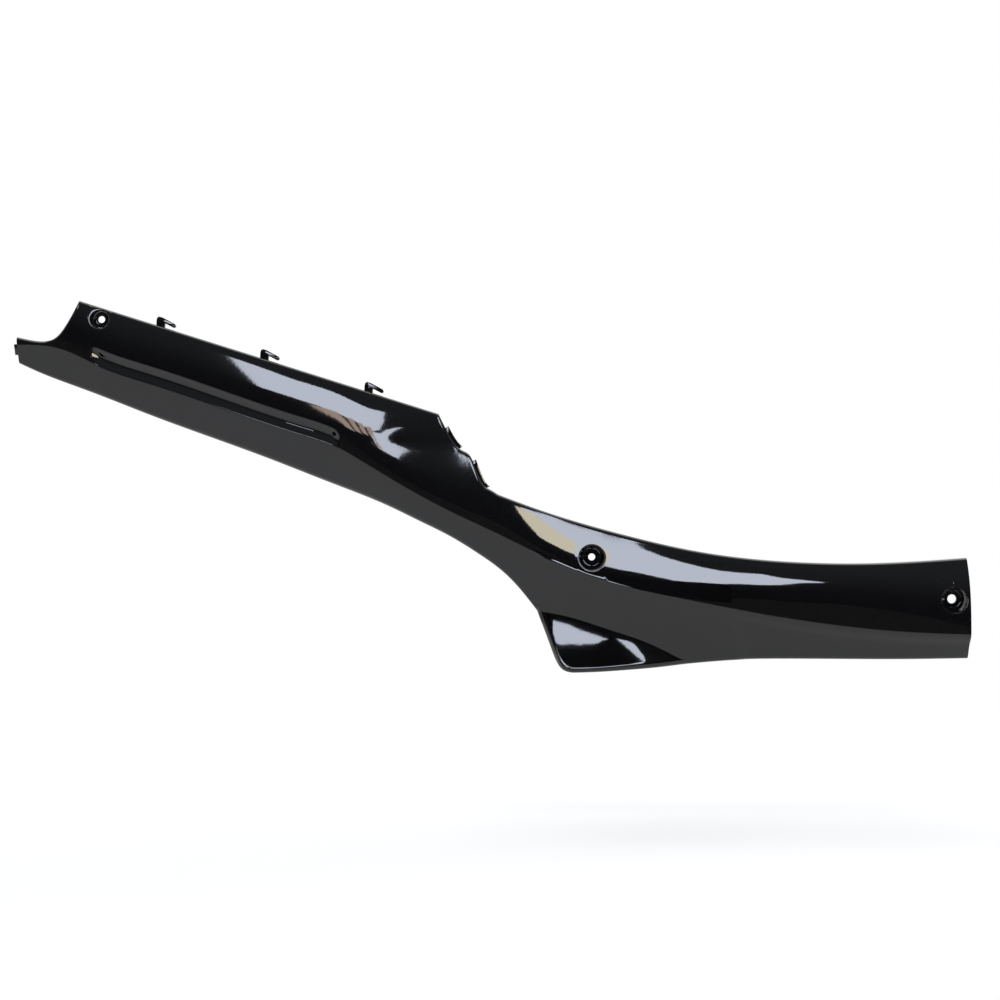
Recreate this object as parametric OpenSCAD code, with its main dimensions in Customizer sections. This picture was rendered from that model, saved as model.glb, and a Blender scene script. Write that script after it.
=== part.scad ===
// Lower side cover of a scooter, right-hand side, moulded in one piece
// Millimetres. +X is forward, +Z up, and the outer face looks towards -Y.
// The origin is the seat of the centre screw, on the screw's axis.

/* [Overall] */
// Centre screw to the rear end of the arm
arm_len = 571; // [540:1:600]
// Centre screw to the front end of the sill
sill_len = 375; // [350:1:400]
// Height of the rear top corner above the centre screw
arm_rise = 254.5; // [240:0.5:270]
// Drop of the flare's lowest corner below the centre screw
flare_drop = 115; // [108:1:122]

/* [Wall] */
// Thickness of the moulded wall
wall = 2.5; // [2:0.1:3]
// Outer radius of the rolled top edge
top_roll = 3.2; // [3.1:0.1:4]
// How far behind the centre seat the return flanges end
return_back = 18; // [16:0.5:24]
// Least reach of a return flange, where the edge itself lies far back
return_least = 7; // [5:0.5:9]

/* [Face] */
// Slope of the lower band, as a share of its height
band_slope = 0.45; // [0.35:0.01:0.55]
// How far the haunch stands proud of the sill's lower band
haunch_step = 3; // [1:0.5:4]
// Radius of the haunch's round front end
haunch_r = 52; // [44:1:56]
// Slope of the flare's face just under its crease
flare_slope = 0.11; // [0.05:0.01:0.15]
// Radius of the flare's hollow face
flare_r = 140; // [120:5:200]

/* [Groove] */
// Rear corner to the groove's rear end
groove_rear_gap = 12; // [8:1:40]
// Length of the groove
groove_len = 248; // [200:1:260]
// Depth of the groove
groove_depth = 6; // [3:0.5:7]
// Width of the groove's upper flank
groove_top_w = 8; // [6:0.5:10]
// Width of the groove's lower flank
groove_low_w = 9; // [7:0.5:10]
// Length over which each end of the groove runs out
groove_end = 8; // [6:1:12]

/* [Screw recesses] */
// Diameter of the mouth of the two deep recesses
cup_mouth_d = 26; // [24:0.5:28]
// Diameter of the deep recess's floor
cup_floor_d = 18.5; // [17:0.5:20]
// Thickness of the recess's floor
cup_floor_t = 3; // [2:0.5:4]
// Diameter of the centre screw hole
centre_hole_d = 7; // [5:0.5:9]
// Diameter of the front screw hole
front_hole_d = 9; // [6:0.5:10]
// Front end of the sill to the front screw
front_inset = 16; // [15:0.5:24]
// Height of the front screw, from the centre screw
front_z = -42; // [-46:0.5:-36]
// Depth of the front seat behind the centre seat
front_seat_back = 5.5; // [3:0.5:8]

/* [Rear screw] */
// Diameter of the rear dish's mouth
dish_mouth_d = 19; // [17:0.5:21]
// Diameter of the rear dish's floor
dish_floor_d = 12; // [11:0.5:14]
// Diameter of the rear screw hole
rear_hole_d = 7; // [5:0.5:8]
// Rear corner to the rear screw, along the sill's axis
rear_inset = 21; // [18:0.5:40]
// Top edge to the rear screw, straight down
rear_drop = 11.5; // [11:0.5:20]
// Depth of the rear seat behind the centre seat
rear_seat_back = 6.5; // [4:0.5:9]

/* [Ribs and tongues] */
// Thickness of the gussets round the deep recesses
gusset_t = 2; // [1.5:0.1:2.5]
// How far a gusset reaches past the recess's mouth
gusset_reach = 4; // [3:0.5:5]
// Thickness of the tongues along the notch
tab_t = 1.5; // [1.2:0.1:2.5]
// How far the notch's tongues stand proud of its edge
tab_proud = 3.5; // [2:0.5:6]
// How far the rear tongue stands past the arm's end
tongue_proud = 3; // [2:0.5:5]
// Width of the rear tongue
tongue_w = 11; // [8:0.5:13]

/* [Hooks] */
// Number of hooks on the rear top edge
hook_count = 3; // [1:1:3]
// Rear corner to the first hook
hook_first = 77; // [60:1:90]
// Distance from one hook to the next
hook_pitch = 103.5; // [80:0.5:105]
// Width of the hook's stem along the edge
hook_stem_w = 7; // [5:0.5:9]
// Height of the hook above the edge
hook_h = 9; // [7:0.5:12]
// Length of the hook's arm past its stem
hook_arm = 11; // [8:0.5:14]
// Thickness of the hook's arm
hook_t = 4; // [3:0.5:5]
// Width of the hook across the flange
hook_w = 5; // [3:0.5:7]

/* [Hidden] */

// Lengths that the control points below were drawn for
DRAWN_ARM = 571;
DRAWN_SILL = 375;
DRAWN_RISE = 254.5;
DRAWN_DROP = 115;

// Moves a drawn point to the cover's own length and height
function long(x) = x < 0 ? x * arm_len / DRAWN_ARM : x * sill_len / DRAWN_SILL;
function high(z) = z > 0 ? z * arm_rise / DRAWN_RISE : z * flare_drop / DRAWN_DROP;
function placed(points) = [for (p = points) [long(p[0]), high(p[1])]];
function along(points) = [for (p = points) [long(p[0]), p[1]]];

// Corners of the outline, from the rear
rear_corner = [-509, 254.5];
notch_corner = [-152, 142];
notch_foot = [-93, 62];
flare_corner = [-54, -54];
flare_toe = [-18, -115];

// Top edge: nose lip with its concave arc, notch, and sill
nose_lip = placed([[-571, 218.5], [-557, 215.5], [-543, 214.5], [-535, 216.5], [-528, 222],
    [-522, 230], [-515, 242], rear_corner]);
notch = placed([notch_corner, [-143.5, 125], [-136, 112.5], [-127, 105], [-119.5, 98.5],
    [-114.5, 86], [-109, 73.5], [-101, 67], notch_foot]);
sill_top = placed([notch_foot, [-51, 46.5], [-20, 36.5], [40, 20], [100, 6.5], [160, -2],
    [220, -6], [280, -6.5], [375, -1.5]]);

// Bottom edge: arm, rear edge of the flare, and sill
arm_low = placed([[-571, 193], [-554, 185], [-529, 175], [-499, 164], [-440, 141], [-380, 119],
    [-320, 97], [-260, 73.5], [-200, 49.5], [-170, 35], [-140, 20], [-111, 2], [-96, -8.5],
    [-81, -21.5], [-66, -38.5], flare_corner]);
flare_edge = placed([flare_corner, [-48, -70], [-42, -86], [-34, -106], [-27, -113], flare_toe]);
sill_low = placed([flare_toe, [8, -114.5], [38, -113], [68, -111], [98, -108], [128, -105],
    [160, -103], [190, -102.5], [250, -102.5], [310, -102.5], [375, -101.5]]);

// Belt: the crease between the upper face and the lower band
belt_line = placed([[-571, 211], [-525, 206], [-490, 190], [-440, 172.5], [-340, 138.5],
    [-290, 122], [-252, 108.5], [-230, 96], [-200, 78], [-150, 50], [-100, 25], [-50, 1],
    [8, -22], [95, -43], [185, -61], [245, -70], [310, -75.5], [375, -77.5]]);
// Crease over the flare's face
flare_line = placed([flare_corner, [-20, -60.5], [19, -73], [53, -84.5], [80, -97]]);
// Foot of the shoulder that swells out of the upper face below the notch
shoulder_line = placed([[-260, 121], [-200, 113], [-134, 110], [-60, 108]]);

// How far the belt stands out, at each place along the cover
bulge = along([[-571, -1], [-400, 4], [-300, 6], [-250, 7.5], [-200, 11.5], [-150, 13], [-100, 13],
    [-50, 12.4], [0, 11.5], [80, 11.5], [200, 9.5], [375, 7.5]]);
// Slope of the upper face just above the belt, as a share of height
lean = along([[-571, -0.2], [-400, -0.2], [-320, -0.2], [-260, -0.18], [-200, -0.17], [-150, -0.16],
    [-100, -0.1], [-60, -0.04], [40, 0], [120, -0.02], [200, -0.04], [375, 0]]);
// Curvature of the upper face, and how fast it tightens towards the top
crown = along([[-571, 0.0078], [-400, 0.0078], [-320, 0.0076], [-260, 0.0074], [-220, 0.0066],
    [-180, 0.0052], [-140, 0.0041], [-100, 0.0037], [-60, 0.0047], [0, 0.006], [40, 0.0065],
    [100, 0.006], [160, 0.002], [375, 0.001]]);
tumble = along([[-571, 0], [-300, 0], [-100, 0], [0, 0], [60, 0], [100, 0.00003], [160, 0.00015],
    [240, 0.00016], [375, 0.0001]]);
// Slope that the shoulder adds below its foot
shoulder = along([[-571, 0], [-270, 0], [-240, 0.02], [-190, 0.11], [-130, 0.11], [-80, 0.02],
    [-50, 0], [375, 0]]);
// Softness of the belt's crease
soft = along([[-571, 1], [-300, 1], [-230, 2], [-150, 7], [-90, 7], [-20, 2], [60, 1.2],
    [375, 1.5]]);
// Outer radius of the rolled bottom edge
bottom_roll = along([[-571, 5], [-60, 5], [-30, 4], [40, 4.5], [90, 5], [375, 5]]);
// Notch tongues: where each begins and ends, and how far it turns upwards from +X
notch_tabs = [[-145, -131, 35], [-118, -104, 22]];

// Natural cubic spline through points sorted by x: its second derivatives, then its value
function sweep(p, i = 1, s = [[0, 0]]) = i > len(p) - 2 ? s :
    let (
        before = p[i][0] - p[i - 1][0],
        after = p[i + 1][0] - p[i][0],
        turn = (p[i + 1][1] - p[i][1]) / after - (p[i][1] - p[i - 1][1]) / before,
        pivot = 2 * (before + after) - before * s[i - 1][0])
    sweep(p, i + 1, concat(s, [[after / pivot, (6 * turn - before * s[i - 1][1]) / pivot]]));
function unwind(s, i, m = [0]) = i < 0 ? m : unwind(s, i - 1, concat([s[i][1] - s[i][0] * m[0]], m));
function bends(p) = let (s = sweep(p)) unwind(s, len(s) - 1);
function span(p, x, i = 0) = i > len(p) - 3 || x <= p[i + 1][0] ? i : span(p, x, i + 1);
function spline(p, m, x) =
    let (
        i = span(p, x),
        h = p[i + 1][0] - p[i][0],
        t = max(0, min(1, (x - p[i][0]) / h)),
        u = 1 - t,
        // straight on beyond either end
        beyond = x - p[i][0] - t * h,
        slope = (p[i + 1][1] - p[i][1]) / h
            + (m[i] * (1 - 3 * u * u) + m[i + 1] * (3 * t * t - 1)) * h / 6)
    u * p[i][1] + t * p[i + 1][1]
        + (m[i] * (u * u * u - u) + m[i + 1] * (t * t * t - t)) * h * h / 6 + beyond * slope;

nose_lip_m = bends(nose_lip);
notch_m = bends(notch);
sill_top_m = bends(sill_top);
arm_low_m = bends(arm_low);
flare_edge_m = bends(flare_edge);
sill_low_m = bends(sill_low);
belt_m = bends(belt_line);
flare_m = bends(flare_line);
shoulder_line_m = bends(shoulder_line);
bulge_m = bends(bulge);
lean_m = bends(lean);
crown_m = bends(crown);
tumble_m = bends(tumble);
shoulder_m = bends(shoulder);
soft_m = bends(soft);
bottom_roll_m = bends(bottom_roll);

// Corners of this cover's outline
rear = placed([rear_corner])[0];
notch_top = placed([notch_corner])[0];
foot = placed([notch_foot])[0];
corner = placed([flare_corner])[0];
toe = placed([flare_toe])[0];
arm_slope = (notch_top[1] - rear[1]) / (notch_top[0] - rear[0]);

// Height of the top and bottom edge at x
function top_z(x) =
    x < rear[0] ? spline(nose_lip, nose_lip_m, x) :
    x < notch_top[0] ? rear[1] + arm_slope * (x - rear[0]) :
    x < foot[0] ? spline(notch, notch_m, x) :
    spline(sill_top, sill_top_m, x);
function bottom_z(x) =
    x < corner[0] ? spline(arm_low, arm_low_m, x) :
    x < toe[0] ? spline(flare_edge, flare_edge_m, x) :
    spline(sill_low, sill_low_m, x);

// A ramp that is 0 below t = 0 and t above it, rounded over r, and an S from 0 to 1
function ramp(t, r) = (t + sqrt(t * t + r * r)) / 2;
function ease(t) = let (c = max(0, min(1, t))) c * c * (3 - 2 * c);

// Where the groove lies: its lower lip is the belt
groove_x0 = rear[0] + groove_rear_gap;
groove_x1 = groove_x0 + groove_len;
function groove(x, v) =
    let (
        across = (v - groove_low_w) / (v > groove_low_w ? groove_top_w : groove_low_w),
        run_out = max(0, groove_x0 + groove_end - x, x - groove_x1 + groove_end) / groove_end)
    groove_depth * ramp(1 - norm([across, run_out, groove_valley]), groove_lip);
// Rounding of the groove's lips and of its valley
groove_lip = 0.05;
groove_valley = 0.09;
// Rounding of the shoulder's foot and of the flare's crease
shoulder_round = 1.5;
flare_round = 0.8;
// Centre of the haunch's round front end, and the length over which its step runs out
haunch_x = long(97);
haunch_z = high(-97);
haunch_run = 12;

// Everything about the section at x that doesn't depend on height
function section(x) = [
    x,
    spline(belt_line, belt_m, x),
    spline(bulge, bulge_m, x),
    spline(lean, lean_m, x),
    spline(crown, crown_m, x),
    spline(tumble, tumble_m, x),
    spline(soft, soft_m, x),
    spline(shoulder_line, shoulder_line_m, x),
    spline(shoulder, shoulder_m, x),
    x > corner[0] - 6 && x < long(110) ? spline(flare_line, flare_m, x) : -999];

// How far the outer face stands out at height z of section s
function face(s, z) =
    let (
        x = s[0],
        v = z - s[1],
        w = s[6],
        up = ramp(v, w),
        belt = -(band_slope + s[3]) / 2 * norm([v, w]) + (band_slope - s[3]) / 2 * v,
        crowning = -s[4] * up * up / 2 - s[5] * up * up * up / 3,
        swell = s[8] * (ramp(s[7] - z, shoulder_round) - ramp(-v, w) - (s[7] - s[1])),
        from_haunch = x > haunch_x ? norm([x - haunch_x, z - haunch_z]) : 0,
        step = haunch_step * ease((from_haunch - haunch_r + haunch_run / 3) / haunch_run)
            * ease(-v / haunch_run),
        below = max(0, ramp(s[9] - z, flare_round)),
        flare = (band_slope + flare_slope) * below + below * below / (2 * flare_r))
    s[2] + belt + crowning + swell - step + flare - groove(x, v);

// Thickness of the wall measured straight inwards, where the face slopes
function wall_in(before, s, after, z) =
    let (
        gap = after[0] - before[0],
        run = (face(after, z) - face(before, z)) / gap,
        rise = (face(s, z + gap / 2) - face(s, z - gap / 2)) / gap)
    wall * norm([1, run, rise]);

// How much a vertical section stretches an edge that runs at a slope
steepest = 2.4;
function stretch(slope) = min(steepest, norm([1, slope]));

// Where a return flange ends that starts at a given place behind the face: on the common
// plane, with a soft change to the least reach
return_soft = 4;
function return_end(start) =
    start - return_least - ramp(start - return_least + return_back, return_soft);

// Steps of the arcs, and rows of the upper face, groove, lower band and flare
arc_steps = 2;
roll_steps = 3;
upper_rows = 6;
band_rows = 4;
flare_rows = 3;
probe = 0.5;

// One closed section: the outer face from the inner end of the top return down to that of the
// bottom return, then back along the inside, as [x, y, z] points
function ring(x) =
    let (
        s = section(x),
        before = section(x - probe),
        after = section(x + probe),
        zt = top_z(x),
        zb = bottom_z(x),
        ft = stretch((top_z(x + probe) - top_z(x - probe)) / (2 * probe)),
        fb = stretch((bottom_z(x + probe) - bottom_z(x - probe)) / (2 * probe)),
        rt = top_roll,
        rb = spline(bottom_roll, bottom_roll_m, x),
        at = atan((face(s, zt - rt - probe) - face(s, zt - rt)) / probe),
        ab = atan((face(s, zb + rb / 2 + probe) - face(s, zb + rb / 2)) / probe),
        z_hi = zt - rt * ft * (1 - sin(at)),
        z_lo = zb + rb * fb * (1 - sin(ab)),
        top_c = [face(s, z_hi) - rt * cos(at), zt - rt * ft],
        low_c = [face(s, z_lo) - rb * cos(ab), zb + rb * fb],
        top_end = return_end(top_c[0]),
        low_end = return_end(low_c[0]),
        belt = s[1],
        fit = min(1, (z_hi - belt) / (1.3 * (groove_low_w + groove_top_w))),
        lip = belt + fit * (groove_low_w + groove_top_w),
        valley = belt + fit * groove_low_w,
        shelf = max(s[9], z_lo + (belt - z_lo) / 4),
        rows = concat(
            [for (i = [0:upper_rows - 1]) z_hi + (lip - z_hi) * i / upper_rows],
            [lip, (lip + valley) / 2, valley, (valley + belt) / 2],
            [for (i = [0:band_rows - 1]) belt + (shelf - belt) * i / band_rows],
            [for (i = [0:flare_rows]) shelf + (z_lo - shelf) * i / flare_rows]),
        in_hi = z_hi - wall * ft * sin(at),
        in_lo = z_lo + wall * fb * sin(ab),
        in_rows = [for (z = rows) z > belt
            ? belt + (z - belt) * (in_hi - belt) / (z_hi - belt)
            : belt + (z - belt) * (in_lo - belt) / (z_lo - belt)],
        top_arc = [for (i = [0:arc_steps - 1]) 90 + (at - 90) * i / arc_steps],
        low_arc = [for (i = [1:roll_steps]) -ab + (ab - 90) * i / roll_steps],
        outer = concat(
            [[top_end, zt]],
            [for (a = top_arc) [top_c[0] + rt * cos(a), top_c[1] + rt * ft * sin(a)]],
            [for (z = rows) [face(s, z), z]],
            [for (a = low_arc) [low_c[0] + rb * cos(a), low_c[1] + rb * fb * sin(a)]],
            [[low_end, zb]]),
        it = rt - wall,
        ib = rb - wall,
        inner = concat(
            [[top_end, zt - wall * ft]],
            [for (a = top_arc) [top_c[0] + it * cos(a), top_c[1] + it * ft * sin(a)]],
            [for (z = in_rows) [face(s, z) - wall_in(before, s, after, z), z]],
            [for (a = low_arc) [low_c[0] + ib * cos(a), low_c[1] + ib * fb * sin(a)]],
            [[low_end, zb + wall * fb]]))
    [for (p = concat(outer, [for (i = [len(inner) - 1:-1:0]) inner[i]])) [x, -p[0], p[1]]];

// Places of the sections: each stretch is cut into equal steps
function cut(a, b, n) = [for (i = [0:n - 1]) a + (b - a) * i / n];
stations = concat(
    cut(-arm_len, rear[0], 10),
    cut(rear[0], groove_x0, 1),
    cut(groove_x0, groove_x0 + groove_end, 3),
    cut(groove_x0 + groove_end, groove_x1 - groove_end, 13),
    cut(groove_x1 - groove_end, groove_x1, 3),
    cut(groove_x1, notch_top[0], 7),
    cut(notch_top[0], foot[0], 12),
    cut(foot[0], corner[0], 4),
    cut(corner[0], toe[0], 9),
    cut(toe[0], haunch_x, 8),
    cut(haunch_x, haunch_x + haunch_r + haunch_run, 6),
    cut(haunch_x + haunch_r + haunch_run, sill_len, 10),
    [sill_len]);

// Skin of a tube of closed sections, each with as many points, with its two ends
function tube_faces(sections, n) = concat(
    [for (i = [0:sections - 2], j = [0:n - 1])
        let (k = (j + 1) % n, a = i * n + j, b = i * n + k)
        each [[a, a + n, b + n], [a, b + n, b]]],
    [for (end = [0, sections - 1], j = [0:n / 2 - 2])
        let (
            a = end * n + j,
            b = a + 1,
            c = end * n + n - 2 - j,
            d = c + 1)
        each end == 0 ? [[a, b, c], [a, c, d]] : [[a, c, b], [a, d, c]]]);

module shell() {
    rings = [for (x = stations) ring(x)];
    polyhedron([for (r = rings) each r], tube_faces(len(rings), len(rings[0])));
}

// Where the outer face stands at a screw, and how it slopes there
function face_at(x, z) = face(section(x), z);
function slope_at(x, z) = [
    face_at(x + probe, z) - face_at(x - probe, z),
    face_at(x, z + probe) - face_at(x, z - probe)] / (2 * probe);

// Turns +Z outwards and moves to a seat at x and z that stands out by seat
module at_seat(x, z, seat) {
    translate([x, -seat, z]) rotate([90, 0, 0]) children();
}

// How deep the back of a recess lies in the wall at its mouth
mouth_sink = wall / 2;
// Length by which a cut runs past what it cuts
past = 8;
// How far a tongue reaches into the wall that carries it, and behind the wall's face
tab_root = 2;
tongue_root = 3;
tongue_back = 0.2;

// Body of a recess: a cone round it, with a gusset at each angle, whose top follows the
// slope of the face
module cup_body(x, z, seat, floor_d, mouth_d, floor_t, gussets) {
    depth = face_at(x, z) - seat;
    flank = (mouth_d - floor_d) / 2 / depth;
    slope = slope_at(x, z);
    at_seat(x, z, seat) difference() {
        union() {
            translate([0, 0, -floor_t]) cylinder(
                h = depth + floor_t + past,
                r1 = floor_d / 2 + wall - floor_t * flank,
                r2 = floor_d / 2 + wall + (depth + past) * flank,
                $fn = 64);
            for (a = gussets)
                rotate([90, 0, a]) translate([0, 0, -gusset_t / 2]) linear_extrude(gusset_t) polygon([
                    [0, -floor_t / 2],
                    [floor_d / 2 + wall, -floor_t / 2],
                    [mouth_d / 2 + gusset_reach, depth - mouth_sink],
                    [mouth_d / 2 + gusset_reach, depth + past],
                    [0, depth + past]]);
        }
        translate([0, 0, depth - mouth_sink])
            rotate([atan(slope[1]), -atan(slope[0]), 0])
            translate([-mouth_d, -mouth_d, 0])
            cube([2 * mouth_d, 2 * mouth_d, 3 * past]);
    }
}

module cup_cut(x, z, seat, floor_d, mouth_d) {
    depth = face_at(x, z) - seat;
    flank = (mouth_d - floor_d) / 2 / depth;
    at_seat(x, z, seat) cylinder(
        h = depth + past,
        r1 = floor_d / 2,
        r2 = floor_d / 2 + (depth + past) * flank,
        $fn = 64);
}

module hole(x, z, seat, d) {
    at_seat(x, z, seat) translate([0, 0, -2 * past]) cylinder(h = 3 * past, d = d, $fn = 48);
}

// Tongue that stands proud of the notch's edge, under the face, from xa to xb
module notch_tab(xa, xb, lean_out) {
    steps = 4;
    edge = [for (i = [0:steps]) let (x = xa + (xb - xa) * i / steps) [x, top_z(x)]];
    mid = (xa + xb) / 2;
    y = -face_at(mid, top_z(mid) - top_roll) + top_roll;
    translate([0, y + tab_t, 0]) rotate([90, 0, 0]) linear_extrude(tab_t) polygon(concat(
        [for (p = edge) p + tab_proud * [cos(lean_out), sin(lean_out)]],
        [for (i = [steps:-1:0]) edge[i] - tab_root * [cos(lean_out), sin(lean_out)]]));
}

// Tongue on the rear end of the arm, in line with its wall
module rear_tongue() {
    z = (top_z(-arm_len) + bottom_z(-arm_len)) / 2;
    slope = slope_at(-arm_len, z);
    translate([-arm_len, -face_at(-arm_len, z), z])
        rotate([atan(slope[1]), 0, 0])
        translate([-tongue_proud, tongue_back, -tongue_w / 2])
        cube([tongue_proud + tongue_root, wall - 2 * tongue_back, tongue_w]);
}

// Places of the front and rear screws
front_x = sill_len - front_inset;
rear_x = rear[0] + rear_inset;
rear_z = top_z(rear_x) - rear_drop;

// Hook that slides under the panel above, drawn with the edge along +X: how far its stem
// leans, how far its arm drops towards the tip, and the chamfer of its corners
hook_lean = 2;
hook_drop = 2.5;
hook_chamfer = 1.5;
module hook_profile() {
    tip = hook_stem_w + hook_arm;
    under = hook_h - hook_t;
    polygon([
        [0, -wall],
        [-hook_lean, under],
        [-hook_lean, hook_h - hook_chamfer],
        [hook_chamfer - hook_lean, hook_h],
        [hook_stem_w / 2, hook_h],
        [tip - hook_chamfer, hook_h - hook_drop],
        [tip, hook_h - hook_drop - hook_chamfer],
        [tip, under - hook_drop / 2],
        [tip - hook_chamfer, under - hook_drop],
        [hook_stem_w, under - hook_chamfer / 2],
        [hook_stem_w + hook_chamfer, -wall]]);
}

module hooks() {
    for (i = [0:hook_count - 1]) {
        x = rear[0] + hook_first + i * hook_pitch;
        edge_y = -face_at(x, top_z(x) - top_roll) + top_roll;
        translate([x, edge_y + hook_w, top_z(x)])
            rotate([90, -atan(arm_slope), 0])
            linear_extrude(hook_w) hook_profile();
    }
}

module side_cover() {
    color([0.05, 0.05, 0.055]) difference() {
        union() {
            shell();
            cup_body(0, 0, 0, cup_floor_d, cup_mouth_d, cup_floor_t, [0, 90, 180, 270]);
            cup_body(front_x, front_z, -front_seat_back, cup_floor_d, cup_mouth_d, cup_floor_t,
                [90, 180, 270]);
            cup_body(rear_x, rear_z, -rear_seat_back, dish_floor_d, dish_mouth_d, cup_floor_t, []);
            hooks();
            for (tab = notch_tabs) notch_tab(long(tab[0]), long(tab[1]), tab[2]);
            rear_tongue();
        }
        cup_cut(0, 0, 0, cup_floor_d, cup_mouth_d);
        cup_cut(front_x, front_z, -front_seat_back, cup_floor_d, cup_mouth_d);
        cup_cut(rear_x, rear_z, -rear_seat_back, dish_floor_d, dish_mouth_d);
        hole(0, 0, 0, centre_hole_d);
        hole(front_x, front_z, -front_seat_back, front_hole_d);
        hole(rear_x, rear_z, -rear_seat_back, rear_hole_d);
    }
}

side_cover();
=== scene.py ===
"""Lower side cover of a scooter: one gloss black moulding in front of a white sweep.

The shell is the same surface as the CAD model's, in millimetres, meshed finely enough to mirror
the room without facets. Heights are along Z, the outer face looks towards -Y, and `out` is how
far a point stands out towards the viewer.
"""
import math

import bmesh
import bpy
import numpy as np
from mathutils import Matrix, Vector


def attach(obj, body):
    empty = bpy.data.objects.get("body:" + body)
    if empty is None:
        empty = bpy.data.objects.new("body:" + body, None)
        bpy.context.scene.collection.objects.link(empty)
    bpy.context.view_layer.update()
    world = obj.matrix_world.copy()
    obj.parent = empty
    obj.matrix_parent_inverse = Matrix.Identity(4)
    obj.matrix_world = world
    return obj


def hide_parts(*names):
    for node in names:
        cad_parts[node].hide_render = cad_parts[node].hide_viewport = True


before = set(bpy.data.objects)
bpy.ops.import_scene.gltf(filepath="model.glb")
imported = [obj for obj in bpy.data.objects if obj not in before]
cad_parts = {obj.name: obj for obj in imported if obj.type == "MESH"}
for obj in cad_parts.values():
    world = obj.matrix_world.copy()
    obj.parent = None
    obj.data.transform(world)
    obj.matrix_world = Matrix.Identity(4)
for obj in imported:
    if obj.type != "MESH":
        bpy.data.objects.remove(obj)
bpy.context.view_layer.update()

MM = 0.001

# Sizes of the CAD model, in millimetres
ARM_LEN, SILL_LEN = 571, 375
WALL, TOP_ROLL = 2.5, 3.2
RETURN_BACK, RETURN_LEAST, RETURN_SOFT = 18, 7, 4
BAND_SLOPE = 0.45
HAUNCH_X, HAUNCH_Z, HAUNCH_R, HAUNCH_STEP, HAUNCH_RUN = 97, -97, 52, 3, 12
FLARE_SLOPE, FLARE_R, FLARE_ROUND, SHOULDER_ROUND = 0.11, 140, 0.8, 1.5
GROOVE_LEN, GROOVE_REAR_GAP, GROOVE_END, GROOVE_DEPTH = 248, 12, 8, 6
GROOVE_TOP_W, GROOVE_LOW_W, GROOVE_LIP, GROOVE_VALLEY = 8, 9, 0.05, 0.03
GROOVE_SINK, GROOVE_LEDGE, GROOVE_FLOOR, GROOVE_SOFT = 0.5, 1.5, 0.26, 0.14
CUP_MOUTH_D, CUP_FLOOR_D, CUP_FLOOR_T = 26, 18.5, 3
DISH_MOUTH_D, DISH_FLOOR_D = 19, 12
GUSSET_T, GUSSET_REACH = 2, 4
RIM_ROUND, FOOT_ROUND, EDGE_ROUND = 0.8, 0.5, 0.3
TAB_T, TAB_PROUD, TAB_ROOT = 1.5, 3.5, 2
TONGUE_PROUD, TONGUE_ROOT, TONGUE_W, TONGUE_BACK = 3, 3, 11, 0.2
HOOK_COUNT, HOOK_FIRST, HOOK_PITCH = 3, 77, 103.5
HOOK_STEM_W, HOOK_H, HOOK_ARM, HOOK_T, HOOK_W = 7, 9, 11, 4, 5
HOOK_LEAN, HOOK_DROP, HOOK_CHAMFER = 2, 2.5, 1.5
# Notch tongues: where each begins and ends, and how far it turns upwards from +X
NOTCH_TABS = ((-145, -131, 35), (-118, -104, 22))

SCREWS = [
    # x, z, seat, floor diameter, mouth diameter, hole diameter, gusset angles
    (0, 0, 0, CUP_FLOOR_D, CUP_MOUTH_D, 7, (0, 90, 180, 270)),
    (SILL_LEN - 16, -42, -5.5, CUP_FLOOR_D, CUP_MOUTH_D, 9, (90, 180, 270)),
    (-488, 236.382, -6.5, DISH_FLOOR_D, DISH_MOUTH_D, 7, ()),
]
FLANGE_ROWS = 4


class Curve:
    """Natural cubic spline through chosen points, straight on beyond both ends."""

    def __init__(self, *points):
        self.x, self.y = np.array(points, float).T
        gaps = np.diff(self.x)
        system = np.eye(len(self.x))
        turn = np.zeros(len(self.x))
        turn[1:-1] = 6 * np.diff(np.diff(self.y) / gaps)
        for i in range(1, len(self.x) - 1):
            system[i, i - 1:i + 2] = gaps[i - 1], 2 * (gaps[i - 1] + gaps[i]), gaps[i]
        self.bend = np.linalg.solve(system, turn)

    def __call__(self, x):
        i = np.clip(np.searchsorted(self.x, x) - 1, 0, len(self.x) - 2)
        h = self.x[i + 1] - self.x[i]
        t = np.clip((x - self.x[i]) / h, 0, 1)
        u = 1 - t
        y0, y1, m0, m1 = self.y[i], self.y[i + 1], self.bend[i], self.bend[i + 1]
        slope = (y1 - y0) / h + (m0 * (1 - 3 * u * u) + m1 * (3 * t * t - 1)) * h / 6
        value = u * y0 + t * y1 + (m0 * (u ** 3 - u) + m1 * (t ** 3 - t)) * h * h / 6
        return value + (x - self.x[i] - t * h) * slope


# Corners and edges of the outline
REAR, NOTCH_TOP, FOOT = (-509, 254.5), (-152, 142), (-93, 62)
CORNER, TOE = (-54, -54), (-18, -115)
nose_lip = Curve((-571, 218.5), (-557, 215.5), (-543, 214.5), (-535, 216.5), (-528, 222),
                 (-522, 230), (-515, 242), REAR)
notch = Curve(NOTCH_TOP, (-143.5, 125), (-136, 112.5), (-127, 105), (-119.5, 98.5),
              (-114.5, 86), (-109, 73.5), (-101, 67), FOOT)
sill_top = Curve(FOOT, (-51, 46.5), (-20, 36.5), (40, 20), (100, 6.5), (160, -2), (220, -6),
                 (280, -6.5), (375, -1.5))
arm_low = Curve((-571, 193), (-554, 185), (-529, 175), (-499, 164), (-440, 141), (-380, 119),
                (-320, 97), (-260, 73.5), (-200, 49.5), (-170, 35), (-140, 20), (-111, 2),
                (-96, -8.5), (-81, -21.5), (-66, -38.5), CORNER)
flare_edge = Curve(CORNER, (-48, -70), (-42, -86), (-34, -106), (-27, -113), TOE)
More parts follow.
